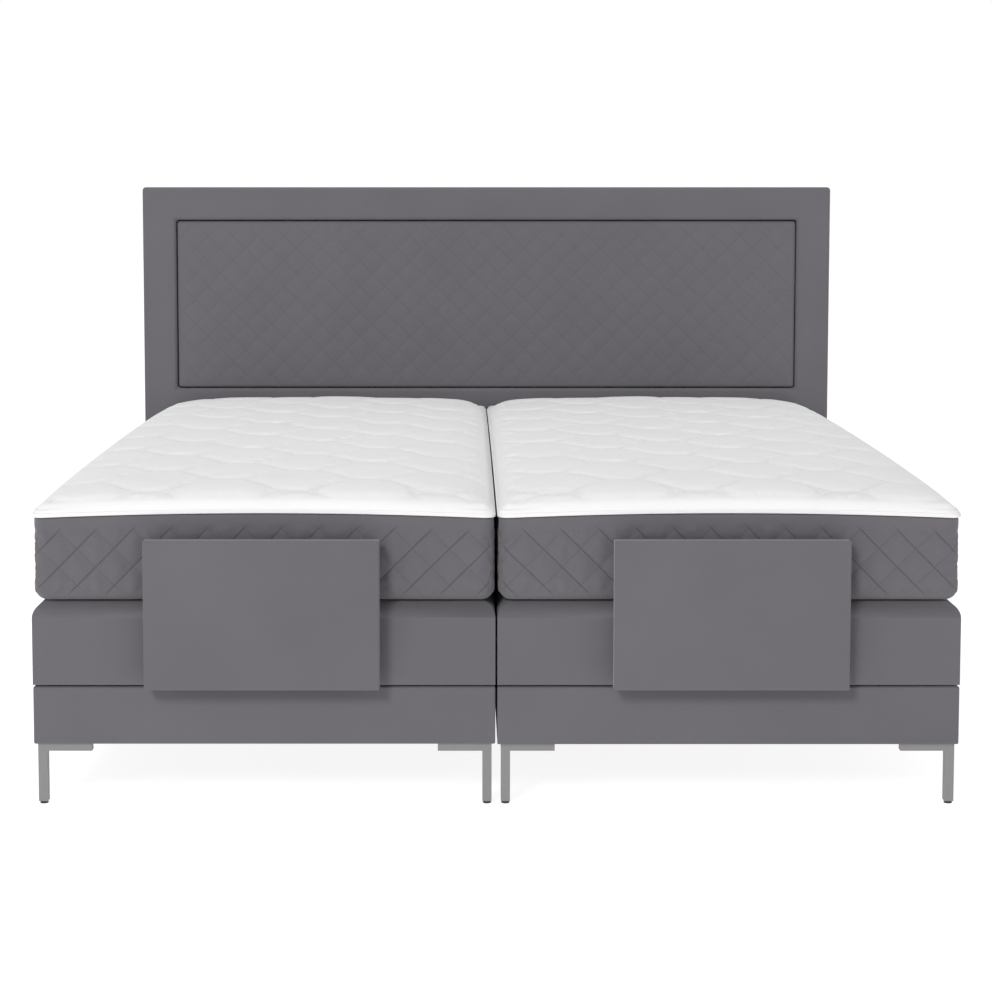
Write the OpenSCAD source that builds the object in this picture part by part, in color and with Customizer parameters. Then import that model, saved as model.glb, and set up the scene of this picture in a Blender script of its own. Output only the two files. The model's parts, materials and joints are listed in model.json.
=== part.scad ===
// Two-part adjustable bed: upholstered plinth, moving upper box in four sections, twin-shaft lift
// drive, divided mattresses, foot panels and a headboard. Foot end towards -Y, head end towards +Y.

/* [Bed] */
// Width of one half
half_w = 898; // [780:1:1100]
// Gap between the two halves
halves_gap = 4; // [2:1:12]
// Length of the bed without its headboard
bed_l = 2000; // [1900:1:2400]

/* [Heights] */
// Leg height, floor to plinth
leg_h = 120; // [80:1:180]
// Height of the fixed plinth
plinth_h = 113; // [95:1:160]
// Gap between the plinth and the moving box
split_gap = 4; // [3:1:12]
// Height of the moving upper box
box_h = 161; // [150:1:220]
// Gap between the box and the mattress
mattress_gap = 3; // [1:1:8]
// Thickness of the mattress
mattress_h = 206; // [150:1:260]

/* [Sections] */
// Length of the calf section
calf_l = 640; // [520:1:800]
// Length of the thigh section
thigh_l = 300; // [290:1:360]
// Length of the fixed seat section
seat_l = 280; // [235:1:340]
// How far the box ends short of the mattress at the head
head_setback = 22; // [20:1:60]
// Gap between the mattress and the headboard
headboard_gap = 8; // [4:1:30]
// Angle that the back section lifts to
back_angle = 60; // [30:1:60]
// Angle that the thigh section lifts to
thigh_angle = 35; // [15:1:35]
// Angle of each side of the notch under the knee
knee_notch_angle = 24; // [23:1:30]
// Half of the gap between two sections
joint_gap = 3; // [2:0.5:6]
// Chamfer on the section edges at a joint
joint_chamfer = 8; // [6:0.5:14]

/* [Box and plinth] */
// Thickness of the upholstered box skirts
skirt_t = 28; // [18:1:34]
// Thickness of the upholstered section decks
deck_t = 41; // [35:1:48]
// Radius of the box's upper edges
box_edge_r = 30; // [10:1:34]
// Thickness of the plinth rails
rail_t = 28; // [18:1:32]
// Side of the corner blocks
corner_block = 60; // [40:1:80]

/* [Mattress] */
// How far a mattress's sides stand in from the box's sides
mattress_inset = 1; // [0:0.5:10]
// Gap between neighbouring mattress pieces
mattress_clear = 1; // [0.5:0.5:3]

/* [Legs] */
// Side of the square leg post
post_w = 18; // [16:1:30]
// Length of each top arm of a leg
arm_l = 105; // [80:1:150]
// Height of the top arms
arm_h = 15; // [12:1:22]
// How far the legs stand in from the plinth's sides
leg_inset = 7; // [2:1:8]
// Height of the glides under legs and headboard
glide_h = 5; // [3:1:10]

/* [Headboard] */
// How far the headboard stands out beyond the bed at each side
headboard_overhang = 75; // [0:1:200]
// Top of the headboard above the floor
headboard_top = 1199; // [1000:1:1400]
// Thickness of the headboard
headboard_t = 100; // [80:1:140]
// Width of the padded border at the top and the sides
border_w = 93; // [50:1:130]
// Height of the inset quilted panel
inset_h = 481; // [300:1:560]
// Thickness of the headboard's core
core_t = 38; // [25:1:50]
// Thickness of the cloth on the headboard's back
back_cloth_t = 2; // [1:0.5:4]
// How far the inset panel stands back from the border
inset_recess = 6; // [2:1:12]

/* [Foot panels] */
// Width of a foot panel
foot_panel_w = 452; // [300:1:600]
// Height of a foot panel
foot_panel_h = 289; // [200:1:330]
// Thickness of a foot panel
foot_panel_t = 30; // [15:1:40]
// Space between a foot panel and the box
foot_panel_space = 22; // [15:1:60]
// Distance between a foot panel's two brackets
bracket_pitch = 240; // [120:1:280]

/* [Mechanism] */
// Width of the steel rails under the sections
frame_w = 20; // [16:1:24]
// Height of the steel rails under the sections
frame_h = 30; // [26:1:34]
// Thickness of the hinge plates and uprights
plate_t = 6; // [4:0.5:7]
// Radius of the hinge pins
pin_r = 5; // [4:0.5:6]
// Running clearance round pins and shafts
fit = 0.05; // [0.02:0.01:0.1]
// Radius of the lift shafts
shaft_r = 12; // [9:0.5:14]
// Radius of the lift rollers
roller_r = 16; // [14:0.5:20]
// Length of the back lift arms
back_arm_l = 300; // [280:1:320]
// Length of the leg lift arms
leg_arm_l = 170; // [160:1:172]
// Distance of the back shaft from the hip hinge
back_shaft_offset = 150; // [145:1:165]
// Distance of the leg shaft from the thigh hinge
leg_shaft_offset = 80; // [76:1:90]
// Length of the levers inside the drive
lever_l = 70; // [60:1:72]
// Width of the drive housing
drive_w = 90; // [84:1:130]

/* [Hidden] */
$fn = 64;
eps = 1;
fabric_grey = [0.43, 0.42, 0.44];
quilt_white = [0.93, 0.93, 0.93];
steel_grey = [0.62, 0.62, 0.61];
frame_black = [0.13, 0.13, 0.14];
wood_tan = [0.76, 0.62, 0.44];
plastic_black = [0.08, 0.08, 0.09];

// Places along the bed, with the whole object's middle at Y 0
total_l = foot_panel_t + foot_panel_space + bed_l + headboard_gap + headboard_t;
foot_y = -total_l / 2 + foot_panel_t + foot_panel_space;
knee_y = foot_y + calf_l;
thigh_y = knee_y + thigh_l;
hip_y = thigh_y + seat_l;
mattress_head_y = foot_y + bed_l;
box_head_y = mattress_head_y - head_setback;
headboard_y = mattress_head_y + headboard_gap;
core_y = total_l / 2 - back_cloth_t - core_t;

// Heights
plinth_top = leg_h + plinth_h;
box_z = plinth_top + split_gap;
box_top = box_z + box_h;
deck_z = box_top - deck_t;
frame_z = deck_z - frame_h;
lug_r = pin_r + 4;
hinge_z = box_top - lug_r;
mattress_z = box_top + mattress_gap;
mattress_top = mattress_z + mattress_h;
shaft_z = frame_z - roller_r;

// Places across one half, from its middle
half_pitch = half_w + halves_gap;
mattress_w = half_w - 2 * mattress_inset;
plinth_inner = half_w / 2 - rail_t;
box_inner = half_w / 2 - skirt_t;
frame_out = min(box_inner, plinth_inner) - 5;
frame_in = frame_out - frame_w;
lug_in = frame_in - plate_t - 1;
upright_out = lug_in - 1;
upright_in = upright_out - plate_t;
arm_x = upright_in - 42;
notch_in = upright_in - 16;
notch_out = frame_in + 6;
lug_notch = lug_r + 5;
knee_notch = 60;
cross_w = 30;

// Subframe in the plinth
beam_h = 60;
beam_z = leg_h + 37;
cross_beam_h = 40;
drive_z = beam_z + cross_beam_h;
drive_wall = 4;
beam_foot_y = foot_y + rail_t + corner_block + 2;
beam_head_y = headboard_y - rail_t - corner_block - 2;

// Lift shafts, levers and drive
back_shaft_y = hip_y + back_shaft_offset;
leg_shaft_y = thigh_y - leg_shaft_offset;
drive_foot_y = leg_shaft_y - 60;
drive_head_y = back_shaft_y + 60;
drive_top = hinge_z - 47;
lever_tip_r = 8;
back_turn = 1.28 * back_angle;
leg_turn = 1.3 * thigh_angle;
block_gap = 2;
block_l = 48;
block_w = 44;
block_h = 21;
block_z = shaft_z - lever_l - lever_tip_r - 1;
spindle_r = 7;
spindle_z = block_z + block_h / 2;
back_face_y = back_shaft_y - lever_l * sin(back_turn / 2) - lever_tip_r - block_gap;
leg_face_y = leg_shaft_y + lever_l * sin(leg_turn / 2) + lever_tip_r + block_gap;

// Headboard
headboard_z = glide_h + 3;
headboard_w = 2 * half_w + halves_gap + 2 * headboard_overhang;
inset_w = headboard_w - 2 * border_w;
inset_z = headboard_top - border_w - inset_h + 1;
bolt_r = 4;
bolt_head_r = 7;
bolt_head_h = 6;
headboard_bolt_x = 250;
headboard_bolt_z = leg_h + plinth_h / 2;
headboard_bolt_end = core_y + core_t - 8;

// ---- helpers ----

// A box from its lowest to its highest corner
module block(low, high) {
    translate(low) cube(high - low);
}

// The same piece at both sides of one half
module both_sides() {
    children();
    mirror([1, 0, 0]) children();
}

// One half of the bed: side -1 is the left half, 1 the right
module half(side) {
    translate([side * half_pitch / 2, 0, 0]) children();
}

// A shape drawn in the Y-Z plane, extruded from x0 to x1
module along_x(x0, x1) {
    translate([x0, 0, 0]) rotate([90, 0, 90]) linear_extrude(x1 - x0) children();
}

// A shape drawn in the X-Z plane, extruded from y0 to y1
module along_y(y0, y1) {
    translate([0, y1, 0]) rotate([90, 0, 0]) linear_extrude(y1 - y0) children();
}

module rod_x(r, x0, x1, y, z) {
    translate([x0, y, z]) rotate([0, 90, 0]) cylinder(r = r, h = x1 - x0);
}

module rod_y(r, y0, y1, x, z) {
    translate([x, y1, z]) rotate([90, 0, 0]) cylinder(r = r, h = y1 - y0);
}

module rod_z(r, z0, z1, x, y) {
    translate([x, y, z0]) cylinder(r = r, h = z1 - z0);
}

// ---- moving upper box ----

// Side outline of a section between two joints
module section_outline(y0, y1) {
    translate([y0, box_z]) square([y1 - y0, box_h]);
}

// What a joint at y cuts from the outline on one side; dir is 1 for the head side, -1 the foot side
module lift_joint_cut(y, dir) {
    translate([y - (dir > 0 ? eps : joint_gap), box_z - eps])
        square([joint_gap + eps, box_h + 2 * eps]);
    polygon([
        [y, box_top + eps],
        [y + dir * (joint_gap + joint_chamfer + eps), box_top + eps],
        [y + dir * (joint_gap - eps), box_top - joint_chamfer - eps],
        [y, box_top - joint_chamfer - eps]
    ]);
}

// What the knee cuts: a notch that opens downwards from the hinge line
module knee_joint_cut(dir) {
    drop = hinge_z - box_z + eps;
    translate([knee_y - (dir > 0 ? eps : joint_gap), box_z - eps])
        square([joint_gap + eps, box_h + 2 * eps]);
    polygon([
        [knee_y, hinge_z],
        [knee_y + dir * joint_gap, hinge_z],
        [knee_y + dir * (joint_gap + drop * tan(knee_notch_angle)), box_z - eps],
        [knee_y, box_z - eps]
    ]);
}

// The rounded upper edge at the foot end
module foot_edge_cut() {
    difference() {
        translate([foot_y - eps, box_top - box_edge_r])
            square([box_edge_r + eps, box_edge_r + eps]);
        translate([foot_y + box_edge_r, box_top - box_edge_r]) circle(r = box_edge_r);
    }
}

// Cross-section of a deck, with rounded outer upper edges
module deck_section() {
    translate([-half_w / 2, deck_z]) square([half_w, deck_t - box_edge_r]);
    translate([-half_w / 2 + box_edge_r, deck_z]) square([half_w - 2 * box_edge_r, deck_t]);
    for (s = [-1, 1])
        translate([s * (half_w / 2 - box_edge_r), box_top - box_edge_r])
            intersection() {
                circle(r = box_edge_r);
                translate([-box_edge_r, 0]) square([2 * box_edge_r, box_edge_r]);
            }
}

// Deck of a section: children give its side outline
module deck(y0, y1, notch0, notch1) {
    difference() {
        intersection() {
            along_x(-half_w / 2, half_w / 2) children();
            along_y(y0, y1) deck_section();
        }
        both_sides() {
            if (notch0 > 0)
                block([notch_in, y0 - eps, deck_z - eps],
                      [notch_out, y0 + notch0, box_top + eps]);
            if (notch1 > 0)
                block([notch_in, y1 - notch1, deck_z - eps],
                      [notch_out, y1 + eps, box_top + eps]);
        }
    }
}

// Both side skirts of a section: children give its side outline
module side_skirts(y0, y1) {
    both_sides() intersection() {
        along_x(box_inner, half_w / 2) children();
        block([box_inner, y0, box_z], [half_w / 2, y1, deck_z]);
    }
}

module end_skirt(y0) {
    block([-box_inner, y0, box_z], [box_inner, y0 + skirt_t, deck_z]);
}

module calf_outline() {
    difference() {
        section_outline(foot_y, knee_y);
        foot_edge_cut();
        knee_joint_cut(-1);
    }
}

module calf_box() {
    color(fabric_grey) {
        deck(foot_y, knee_y, 0, knee_notch) calf_outline();
        side_skirts(foot_y, knee_y) calf_outline();
        end_skirt(foot_y);
    }
}

module thigh_outline() {
    difference() {
        section_outline(knee_y, thigh_y);
        knee_joint_cut(1);
        lift_joint_cut(thigh_y, -1);
    }
}

module thigh_box() {
    color(fabric_grey) {
        deck(knee_y, thigh_y, knee_notch, lug_notch) thigh_outline();
        side_skirts(knee_y, thigh_y) thigh_outline();
    }
}

module seat_outline() {
    difference() {
        section_outline(thigh_y, hip_y);
        lift_joint_cut(thigh_y, 1);
        lift_joint_cut(hip_y, -1);
    }
}

module seat_box() {
    color(fabric_grey) {
        deck(thigh_y, hip_y, lug_notch, lug_notch) seat_outline();
        side_skirts(thigh_y, hip_y) seat_outline();
    }
}

module back_outline() {
    difference() {
        section_outline(hip_y, box_head_y);
        lift_joint_cut(hip_y, 1);
    }
}

module back_box() {
    color(fabric_grey) {
        deck(hip_y, box_head_y, lug_notch, 0) back_outline();
        side_skirts(hip_y, box_head_y) back_outline();
        end_skirt(box_head_y - skirt_t);
    }
}

// ---- steel section frames ----

// Hinge plate: an eye at the hinge line, a drop below the deck and a foot along the rail
module hinge_plate(x0, y, foot_end) {
    low = min(y - lug_r, foot_end);
    high = max(y + lug_r, foot_end);
    difference() {
        along_x(x0, x0 + plate_t + (x0 == lug_in ? 1 : 0)) {
            translate([y, hinge_z]) circle(r = lug_r);
            translate([y - lug_r, frame_z]) square([2 * lug_r, hinge_z - frame_z]);
            translate([low, frame_z]) square([high - low, frame_h]);
        }
        rod_x(pin_r + fit, x0 - eps, x0 + plate_t + 1 + eps, y, hinge_z);
    }
}

module side_rail(y0, y1) {
    block([frame_in, y0, frame_z], [frame_out, y1, deck_z]);
}

module cross_rail(x, y0) {
    block([-x, y0, frame_z], [x, y0 + cross_w, deck_z]);
}

// The rails that the lift rollers push against
module lift_tracks(y0, y1) {
    both_sides() block([arm_x - 12, y0, frame_z], [arm_x + 12, y1, deck_z]);
}

module back_frame() {
    first = back_shaft_y + 98;
    last = box_head_y - skirt_t - 12 - cross_w;
    color(frame_black) {
        both_sides() {
            side_rail(hip_y + lug_notch, last + cross_w);
            hinge_plate(lug_in, hip_y, hip_y + 70);
        }
        cross_rail(frame_in, first);
        cross_rail(frame_in, last);
        lift_tracks(first + cross_w, last);
    }
}

module thigh_frame() {
    knee_cross = knee_y + 16;
    shaft_cross = leg_shaft_y - 64 - cross_w;
    color(frame_black) {
        both_sides() {
            side_rail(knee_y + knee_notch, thigh_y - lug_notch);
            hinge_plate(lug_in, thigh_y, thigh_y - 60);
            hinge_plate(upright_in, knee_y, knee_y + knee_notch + 30);
            block([upright_out, knee_y + knee_notch, frame_z],
                  [frame_in, knee_y + knee_notch + 30, deck_z]);
        }
        cross_rail(upright_in, knee_cross);
        cross_rail(frame_in, shaft_cross);
        lift_tracks(knee_cross + cross_w, shaft_cross);
    }
}

module calf_frame() {
    foot_end = foot_y + skirt_t + 4;
    color(frame_black) {
        both_sides() {
            side_rail(foot_end, knee_y - lug_notch);
            hinge_plate(lug_in, knee_y, knee_y - 70);
        }
        cross_rail(frame_in, knee_y - 100 - cross_w);
        cross_rail(frame_in, foot_end + 36);
    }
}

// One hinge pin with its head, through an upright plate and a moving plate
module pin(y) {
    rod_x(pin_r, upright_in, lug_in + plate_t + 5, y, hinge_z);
    rod_x(lug_r - 1, upright_in - 3, upright_in, y, hinge_z);
}

module hinge_pins() {
    color(steel_grey)
        for (side = [-1, 1]) half(side) both_sides() {
            pin(thigh_y);
            pin(hip_y);
        }
}

module knee_pins() {
    color(steel_grey) both_sides() pin(knee_y);
}

// ---- fixed subframe ----

// Upright that holds a hinge pin; it stands on the side beam, towards the seat
module upright(y, seat_dir) {
    shoulder = 45;
    low = seat_dir > 0 ? y - lug_r : y - shoulder;
    high = seat_dir > 0 ? y + shoulder : y + lug_r;
    difference() {
        along_x(upright_in, upright_out) {
            translate([y, hinge_z]) circle(r = lug_r);
            translate([y - lug_r, beam_z]) square([2 * lug_r, hinge_z - beam_z]);
            translate([low, beam_z]) square([high - low, frame_z + 10 - beam_z]);
        }
        rod_x(pin_r + fit, upright_in - eps, upright_out + eps, y, hinge_z);
    }
}

module bearing_plate(y) {
    half_l = 20;
    difference() {
        block([upright_in, y - half_l, beam_z], [upright_out, y + half_l, shaft_z + 17]);
        rod_x(shaft_r + fit, upright_in - eps, upright_out + eps, y, shaft_z);
    }
}

module subframe() {
    color(frame_black) {
        both_sides() {
            block([upright_out, beam_foot_y, beam_z],
                  [plinth_inner, beam_head_y, beam_z + beam_h]);
            block([upright_out, thigh_y + lug_notch, frame_z],
                  [upright_out + frame_w, hip_y - lug_notch, deck_z]);
            upright(thigh_y, 1);
            upright(hip_y, -1);
            bearing_plate(leg_shaft_y);
            bearing_plate(back_shaft_y);
        }
        for (y = [beam_foot_y, leg_shaft_y + 28, back_shaft_y - 42, beam_head_y - 40])
            block([-upright_out, y, beam_z], [upright_out, y + 40, drive_z]);
    }
}

// ---- plinth ----

// Where each leg stands: sign of X, and sign of Y with 1 at the head end
LEGS = [[-1, -1], [1, -1], [-1, 1], [1, 1]];
leg_x = half_w / 2 - leg_inset - post_w / 2;
leg_foot_y = foot_y + leg_inset + post_w / 2;
leg_head_y = headboard_y - leg_inset - post_w / 2;
leg_bolt_reach = arm_l - 30;
leg_bolt_l = 45;

// Puts a leg drawn in the corner frame, arms towards +X and +Y, at each corner
module at_legs() {
    for (p = LEGS)
        translate([p[0] * leg_x, p[1] < 0 ? leg_foot_y : leg_head_y, 0])
            mirror([p[0] > 0 ? 1 : 0, 0, 0]) mirror([0, p[1] > 0 ? 1 : 0, 0]) children();
}

// The two bolt axes of one leg
module at_leg_bolts() {
    translate([leg_bolt_reach - post_w / 2, 0, 0]) children();
    translate([0, leg_bolt_reach - post_w / 2, 0]) children();
}

module leg_bolt_holes() {
    at_legs() at_leg_bolts()
        rod_z(bolt_r + fit, leg_h - arm_h - eps, leg_h + leg_bolt_l + fit, 0, 0);
}

module plinth_rails() {
    w = half_w / 2;
    color(fabric_grey) difference() {
        both_sides() block([plinth_inner, foot_y, leg_h], [w, headboard_y, plinth_top]);
        leg_bolt_holes();
    }
    color(fabric_grey) difference() {
        union() {
            block([-plinth_inner, foot_y, leg_h], [plinth_inner, foot_y + rail_t, plinth_top]);
            block([-plinth_inner, headboard_y - rail_t, leg_h],
                  [plinth_inner, headboard_y, plinth_top]);
        }
        leg_bolt_holes();
        for (s = [-1, 1])
            rod_y(bolt_r + fit, headboard_y - rail_t - eps, headboard_y + eps,
                  s * headboard_bolt_x, headboard_bolt_z);
    }
}

module corner_blocks() {
    color(wood_tan)
        for (side = [-1, 1]) half(side) both_sides()
            for (y = [foot_y + rail_t, headboard_y - rail_t - corner_block])
                block([plinth_inner - corner_block, y, leg_h],
                      [plinth_inner, y + corner_block, plinth_top]);
}

module legs() {
    h = post_w / 2;
    color(steel_grey) at_legs() difference() {
        union() {
            block([-h, -h, glide_h], [h, h, leg_h]);
            block([-h, -h, leg_h - arm_h], [arm_l - h, h, leg_h]);
            block([-h, -h, leg_h - arm_h], [h, arm_l - h, leg_h]);
        }
        at_leg_bolts() {
            rod_z(bolt_r + fit, leg_h - arm_h - eps, leg_h + eps, 0, 0);
            rod_z(bolt_head_r + 0.5, leg_h - arm_h - eps, leg_h - arm_h + bolt_head_h, 0, 0);
        }
    }
}

module leg_bolts() {
    head_z = leg_h - arm_h + 1;
    color(steel_grey)
        for (side = [-1, 1]) half(side) at_legs() at_leg_bolts() {
            rod_z(bolt_r, head_z, leg_h + leg_bolt_l, 0, 0);
            rod_z(bolt_head_r, head_z, head_z + bolt_head_h - 1, 0, 0);
        }
}

module leg_glides() {
    color(plastic_black)
        for (side = [-1, 1]) half(side) at_legs() rod_z(post_w / 2 - 1, 0, glide_h, 0, 0);
}

module link_plates() {
    plate_w = 120;
    color(frame_black)
        for (y = [beam_foot_y + 300, beam_head_y - 360])
            block([-plate_w / 2, y, leg_h - 3], [plate_w / 2, y + 60, leg_h]);
}

// ---- lift shafts and drive ----

// Lift arm with its roller pin, from the shaft towards dir
module lift_arm(y, dir, length) {
    thick = 8;
    both_sides() {
        along_x(arm_x + 12, arm_x + 12 + thick) {
            translate([y, shaft_z]) circle(r = shaft_r + 6);
            translate([dir > 0 ? y : y - length, shaft_z - 10]) square([length, 20]);
            translate([y + dir * length, shaft_z]) circle(r = 10);
        }
        rod_x(pin_r, arm_x - 12, arm_x + 12 + eps, y + dir * length, shaft_z);
    }
}

// Fork lever inside the drive, leaning towards dir at rest
module lever(y, dir, lean) {
    both_sides()
        translate([12, y, shaft_z]) rotate([dir * lean, 0, 0]) {
            block([0, -5, -lever_l], [10, 5, 0]);
            rod_x(lever_tip_r, 0, 10, 0, -lever_l);
        }
}

module lift_shaft(y, dir, length, lean) {
    shaft_end = upright_out + 3;
    color(frame_black) {
        union() {
            rod_x(shaft_r, -shaft_end, shaft_end, y, shaft_z);
            rod_x(shaft_r + 6, -24, 24, y, shaft_z);
            lift_arm(y, dir, length);
            lever(y, -dir, lean);
        }
    }
    color(plastic_black) both_sides() difference() {
        rod_x(roller_r, arm_x - 11, arm_x + 11, y + dir * length, shaft_z);
        rod_x(pin_r + fit, arm_x - 12, arm_x + 12, y + dir * length, shaft_z);
    }
}

module back_lift_shaft() {
    lift_shaft(back_shaft_y, 1, back_arm_l, back_turn / 2);
}

module leg_lift_shaft() {
    lift_shaft(leg_shaft_y, -1, leg_arm_l, leg_turn / 2);
}

module drive_housing() {
    w = drive_w / 2;
    color(plastic_black) difference() {
        block([-w, drive_foot_y, drive_z], [w, drive_head_y, drive_top]);
        block([-w + drive_wall, drive_foot_y + drive_wall, drive_z + drive_wall],
              [w - drive_wall, drive_head_y - drive_wall, drive_top - drive_wall]);
        for (y = [leg_shaft_y, back_shaft_y])
            rod_x(shaft_r + 1, -w - eps, w + eps, y, shaft_z);
    }
}

// Motor cans in the middle of the housing, each with its threaded spindle
module drive_motors() {
    motor_r = min(drive_w / 2 - drive_wall - 3, spindle_z - drive_z - drive_wall - 1);
    motor_l = (back_face_y - block_l - leg_face_y - block_l) / 2 - 14;
    leg_motor_y = leg_face_y + block_l + 6;
    back_motor_y = back_face_y - block_l - 6 - motor_l;
    color(steel_grey) {
        rod_y(motor_r, leg_motor_y, leg_motor_y + motor_l, 0, spindle_z);
        rod_y(motor_r, back_motor_y, back_motor_y + motor_l, 0, spindle_z);
        rod_y(spindle_r, drive_foot_y + drive_wall, leg_motor_y, 0, spindle_z);
        rod_y(spindle_r, back_motor_y + motor_l, drive_head_y - drive_wall, 0, spindle_z);
    }
}

// Threaded block that runs along a spindle and pushes the lever
module drive_block(y0) {
    color(quilt_white) difference() {
        block([-block_w / 2, y0, block_z], [block_w / 2, y0 + block_l, block_z + block_h]);
        rod_y(spindle_r + fit, y0 - eps, y0 + block_l + eps, 0, spindle_z);
    }
}

module back_drive_block() {
    drive_block(back_face_y - block_l);
}

module leg_drive_block() {
    drive_block(leg_face_y);
}

// Control box on the left half's rear cross beam, with a blank power inlet recess
module control_box() {
    size = [180, 100, 45];
    x = 110;
    y = back_shaft_y - 70;
    color(plastic_black) half(-1) difference() {
        block([x, y, drive_z], [x + size[0], y + size[1], drive_z + size[2]]);
        block([x + size[0] - 18, y + 36, drive_z + 12], [x + size[0] + eps, y + 64, drive_z + 33]);
    }
}

// ---- mattress ----

// How far a slanted mattress face leans at height z, for a joint that closes by angle
function lean(z, angle) = (z - hinge_z) * tan(angle / 2);

module mattress_piece(foot_low, foot_high, head_low, head_high) {
    color(fabric_grey)
        along_x(-mattress_w / 2, mattress_w / 2)
            polygon([
                [foot_low + mattress_clear, mattress_z],
                [head_low - mattress_clear, mattress_z],
                [head_high - mattress_clear, mattress_top],
                [foot_high + mattress_clear, mattress_top]
            ]);
}

module calf_mattress() {
    mattress_piece(foot_y - mattress_clear, foot_y - mattress_clear, knee_y, knee_y);
}

module thigh_mattress() {
    mattress_piece(knee_y, knee_y, thigh_y - lean(mattress_z, thigh_angle),
                   thigh_y - lean(mattress_top, thigh_angle));
}

module seat_mattress() {
    mattress_piece(thigh_y + lean(mattress_z, thigh_angle),
                   thigh_y + lean(mattress_top, thigh_angle),
                   hip_y - lean(mattress_z, back_angle), hip_y - lean(mattress_top, back_angle));
}

module back_mattress() {
    mattress_piece(hip_y + lean(mattress_z, back_angle), hip_y + lean(mattress_top, back_angle),
                   mattress_head_y + mattress_clear, mattress_head_y + mattress_clear);
}

// The soft wedge over a joint, which the mattress gives up when the joint closes
module fold_wedge(y, angle) {
    mattress_piece(y - lean(mattress_z, angle), y - lean(mattress_top, angle),
                   y + lean(mattress_z, angle), y + lean(mattress_top, angle));
}

module mattress_folds() {
    fold_wedge(thigh_y, thigh_angle);
    fold_wedge(hip_y, back_angle);
}

// ---- foot panel ----

module foot_panel() {
    w = foot_panel_w / 2;
    y = foot_y - foot_panel_space;
    color(fabric_grey)
        block([-w, y - foot_panel_t, box_z + 1], [w, y, box_z + 1 + foot_panel_h]);
}

// Two channel brackets between the box front and the foot panel
module foot_panel_brackets() {
    w = 40;
    h = 70;
    sheet = 4;
    z = box_z + 35;
    y = foot_y - foot_panel_space;
    color(frame_black)
        for (s = [-1, 1]) translate([s * bracket_pitch / 2, 0, z]) difference() {
            block([-w / 2, y, 0], [w / 2, foot_y, h]);
            block([-w / 2 + sheet, y + sheet, -eps], [w / 2 + eps, foot_y - sheet, h + eps]);
        }
}

// ---- headboard ----

module headboard_bolt_holes(y0, y1) {
    for (side = [-1, 1]) half(side) for (s = [-1, 1])
        rod_y(bolt_r + fit, y0, y1, s * headboard_bolt_x, headboard_bolt_z);
}

// The board behind the pads, with its cover drawn round its edges
module headboard_core() {
    w = headboard_w / 2 - 2;
    color(fabric_grey) difference() {
        block([-w, core_y, headboard_z], [w, core_y + core_t, headboard_top - 2]);
        headboard_bolt_holes(core_y - eps, headboard_bolt_end + fit);
    }
}

// Padded rails round the inset: two stiles, a top rail and a deep lower rail
module headboard_border() {
    w = headboard_w / 2;
    win = inset_w / 2;
    low = headboard_z;
    color(fabric_grey) {
        both_sides() block([win, headboard_y, low], [w, core_y, headboard_top]);
        block([-win, headboard_y, inset_z + inset_h], [win, core_y, headboard_top]);
        difference() {
            block([-win, headboard_y, low], [win, core_y, inset_z]);
            headboard_bolt_holes(headboard_y - eps, core_y + eps);
        }
    }
}

module headboard_panel() {
    w = inset_w / 2 - 3;
    color(fabric_grey)
        block([-w, headboard_y + inset_recess, inset_z + 3], [w, core_y, inset_z + inset_h - 3]);
}

module headboard_back_cloth() {
    w = headboard_w / 2 - 10;
    y = core_y + core_t;
    color(frame_black)
        block([-w, y, glide_h + 12], [w, y + back_cloth_t, headboard_top - 10]);
}

module headboard_bolts() {
    y = headboard_y - rail_t;
    color(steel_grey)
        for (side = [-1, 1]) half(side) for (s = [-1, 1]) {
            rod_y(bolt_r, y - 1, headboard_bolt_end, s * headboard_bolt_x, headboard_bolt_z);
            rod_y(bolt_head_r, y - bolt_head_h, y, s * headboard_bolt_x, headboard_bolt_z);
        }
}

module headboard_glides() {
    color(plastic_black)
        for (x = [-headboard_w / 2 + 60, -headboard_w / 6, headboard_w / 6, headboard_w / 2 - 60])
            rod_z(14, 0, headboard_z, x, core_y + core_t / 2);
}

// ---- nodes ----

headboard_core();
headboard_border();
headboard_panel();
headboard_back_cloth();
headboard_bolts();
headboard_glides();
link_plates();
leg_bolts();
leg_glides();
hinge_pins();
corner_blocks();
control_box();
half(-1) plinth_rails();  // left_plinth_rails
half(-1) legs();  // left_legs
half(-1) subframe();  // left_subframe
half(-1) seat_box();  // left_seat_box
half(-1) back_box();  // left_back_box
half(-1) thigh_box();  // left_thigh_box
half(-1) calf_box();  // left_calf_box
half(-1) back_frame();  // left_back_frame
half(-1) thigh_frame();  // left_thigh_frame
half(-1) calf_frame();  // left_calf_frame
half(-1) knee_pins();  // left_knee_pins
half(-1) back_mattress();  // left_back_mattress
half(-1) seat_mattress();  // left_seat_mattress
half(-1) thigh_mattress();  // left_thigh_mattress
half(-1) calf_mattress();  // left_calf_mattress
half(-1) mattress_folds();  // left_mattress_folds
half(-1) foot_panel();  // left_foot_panel
half(-1) foot_panel_brackets();  // left_foot_panel_brackets
half(-1) back_lift_shaft();  // left_back_lift_shaft
half(-1) leg_lift_shaft();  // left_leg_lift_shaft
half(-1) drive_housing();  // left_drive_housing
half(-1) drive_motors();  // left_drive_motors
half(-1) back_drive_block();  // left_back_drive_block
half(-1) leg_drive_block();  // left_leg_drive_block
half(1) plinth_rails();  // right_plinth_rails
half(1) legs();  // right_legs
half(1) subframe();  // right_subframe
half(1) seat_box();  // right_seat_box
half(1) back_box();  // right_back_box
half(1) thigh_box();  // right_thigh_box
half(1) calf_box();  // right_calf_box
half(1) back_frame();  // right_back_frame
half(1) thigh_frame();  // right_thigh_frame
half(1) calf_frame();  // right_calf_frame
half(1) knee_pins();  // right_knee_pins
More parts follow.
